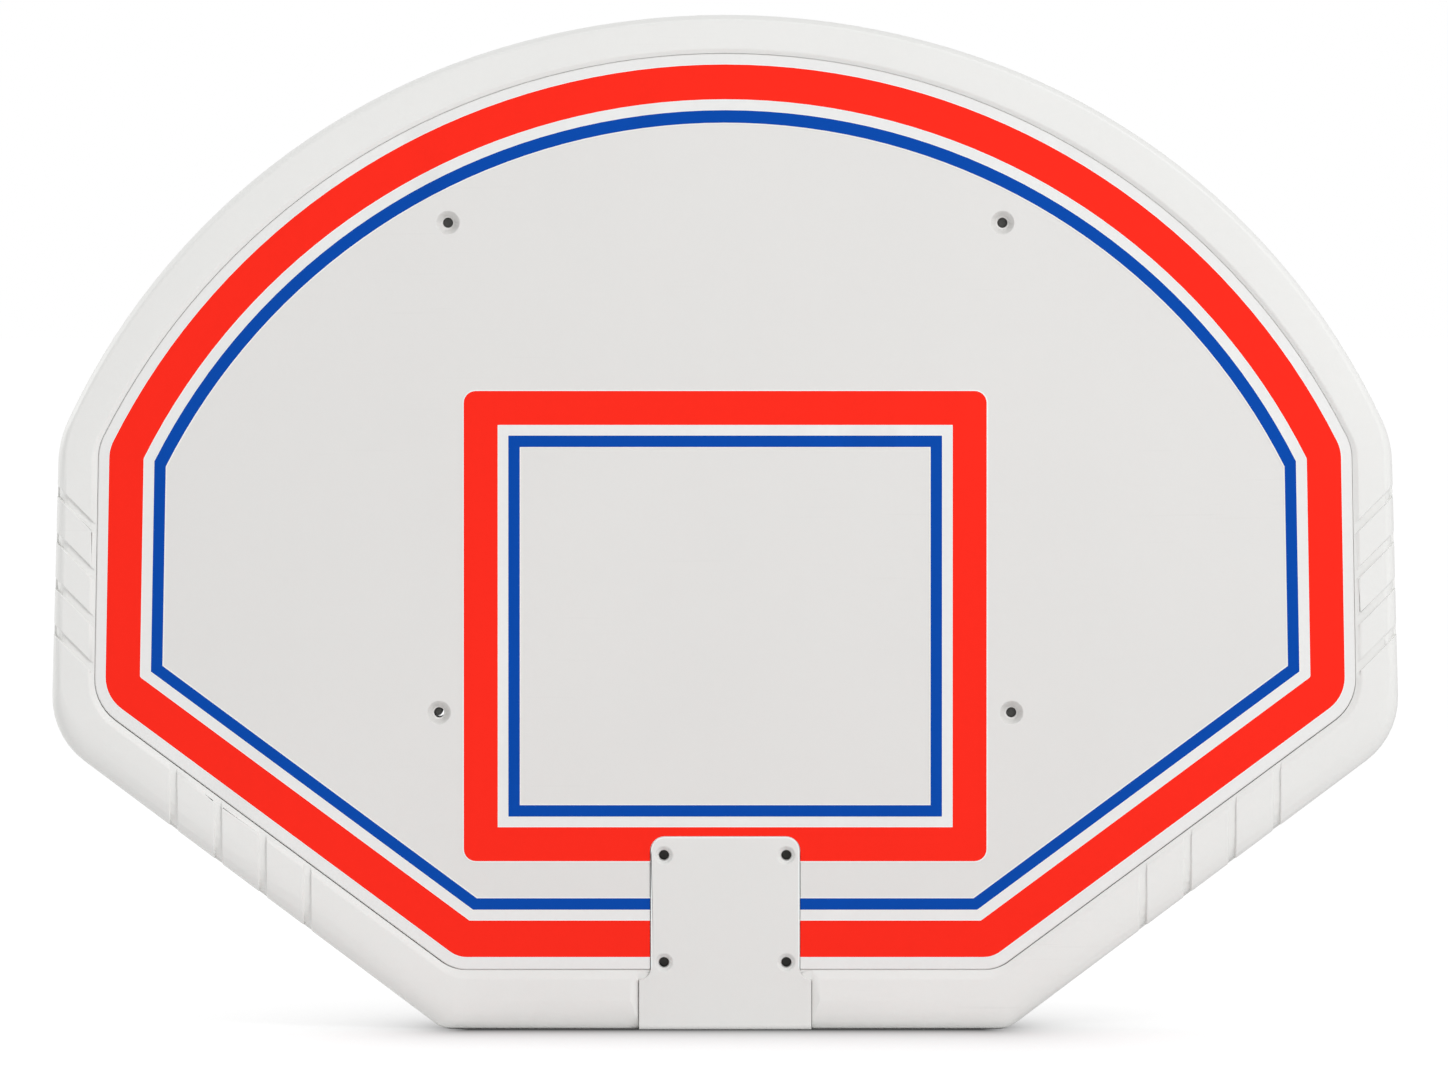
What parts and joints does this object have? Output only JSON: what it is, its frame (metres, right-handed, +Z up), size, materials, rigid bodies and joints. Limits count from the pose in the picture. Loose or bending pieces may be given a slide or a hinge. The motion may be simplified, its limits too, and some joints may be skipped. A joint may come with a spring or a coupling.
{
  "type": "basketball backboard",
  "caption": "Fan-shaped basketball backboard: a white moulded frame and rear shell round an inset face panel with red and blue border and target stripes, and a block that takes the rim.",
  "frame": {"origin": "middle of the bottom edge at half the depth, on the surface that the board stands on", "axes": "+X across the board to the viewer's right, +Z up, and the face looks towards -Y"},
  "size_m": [1.1176, 0.0636, 0.842],
  "materials": {
    "frame_plastic": "satin",
    "shell_plastic": "satin",
    "block_plastic": "satin",
    "panel_plastic": "satin",
    "tape": "matt",
    "film": "semi-gloss",
    "red_ink": "semi-gloss",
    "blue_ink": "semi-gloss",
    "sleeve_steel": "zinc plated",
    "plate_steel": "zinc plated",
    "screw_steel": "zinc plated"
  },
  "bodies": {
    "root": {"front_frame": "frame_plastic", "rear_shell": "shell_plastic", "rim_block": "block_plastic", "face_panel": "panel_plastic", "panel_tape": "tape", "border_film": "film", "target_film": "film", "border_red_stripe": "red_ink", "target_red_stripe": "red_ink", "border_blue_stripe": "blue_ink", "target_blue_stripe": "blue_ink", "backing_plate": "plate_steel", "shell_screws": "screw_steel", "block_screws": "screw_steel", "plate_screws": "screw_steel", "bracket_sleeve_1": "sleeve_steel", "rim_sleeve_1": "sleeve_steel", "bracket_sleeve_2": "sleeve_steel", "rim_sleeve_2": "sleeve_steel", "bracket_sleeve_3": "sleeve_steel", "rim_sleeve_3": "sleeve_steel", "bracket_sleeve_4": "sleeve_steel", "rim_sleeve_4": "sleeve_steel"}
  },
  "joints": []
}
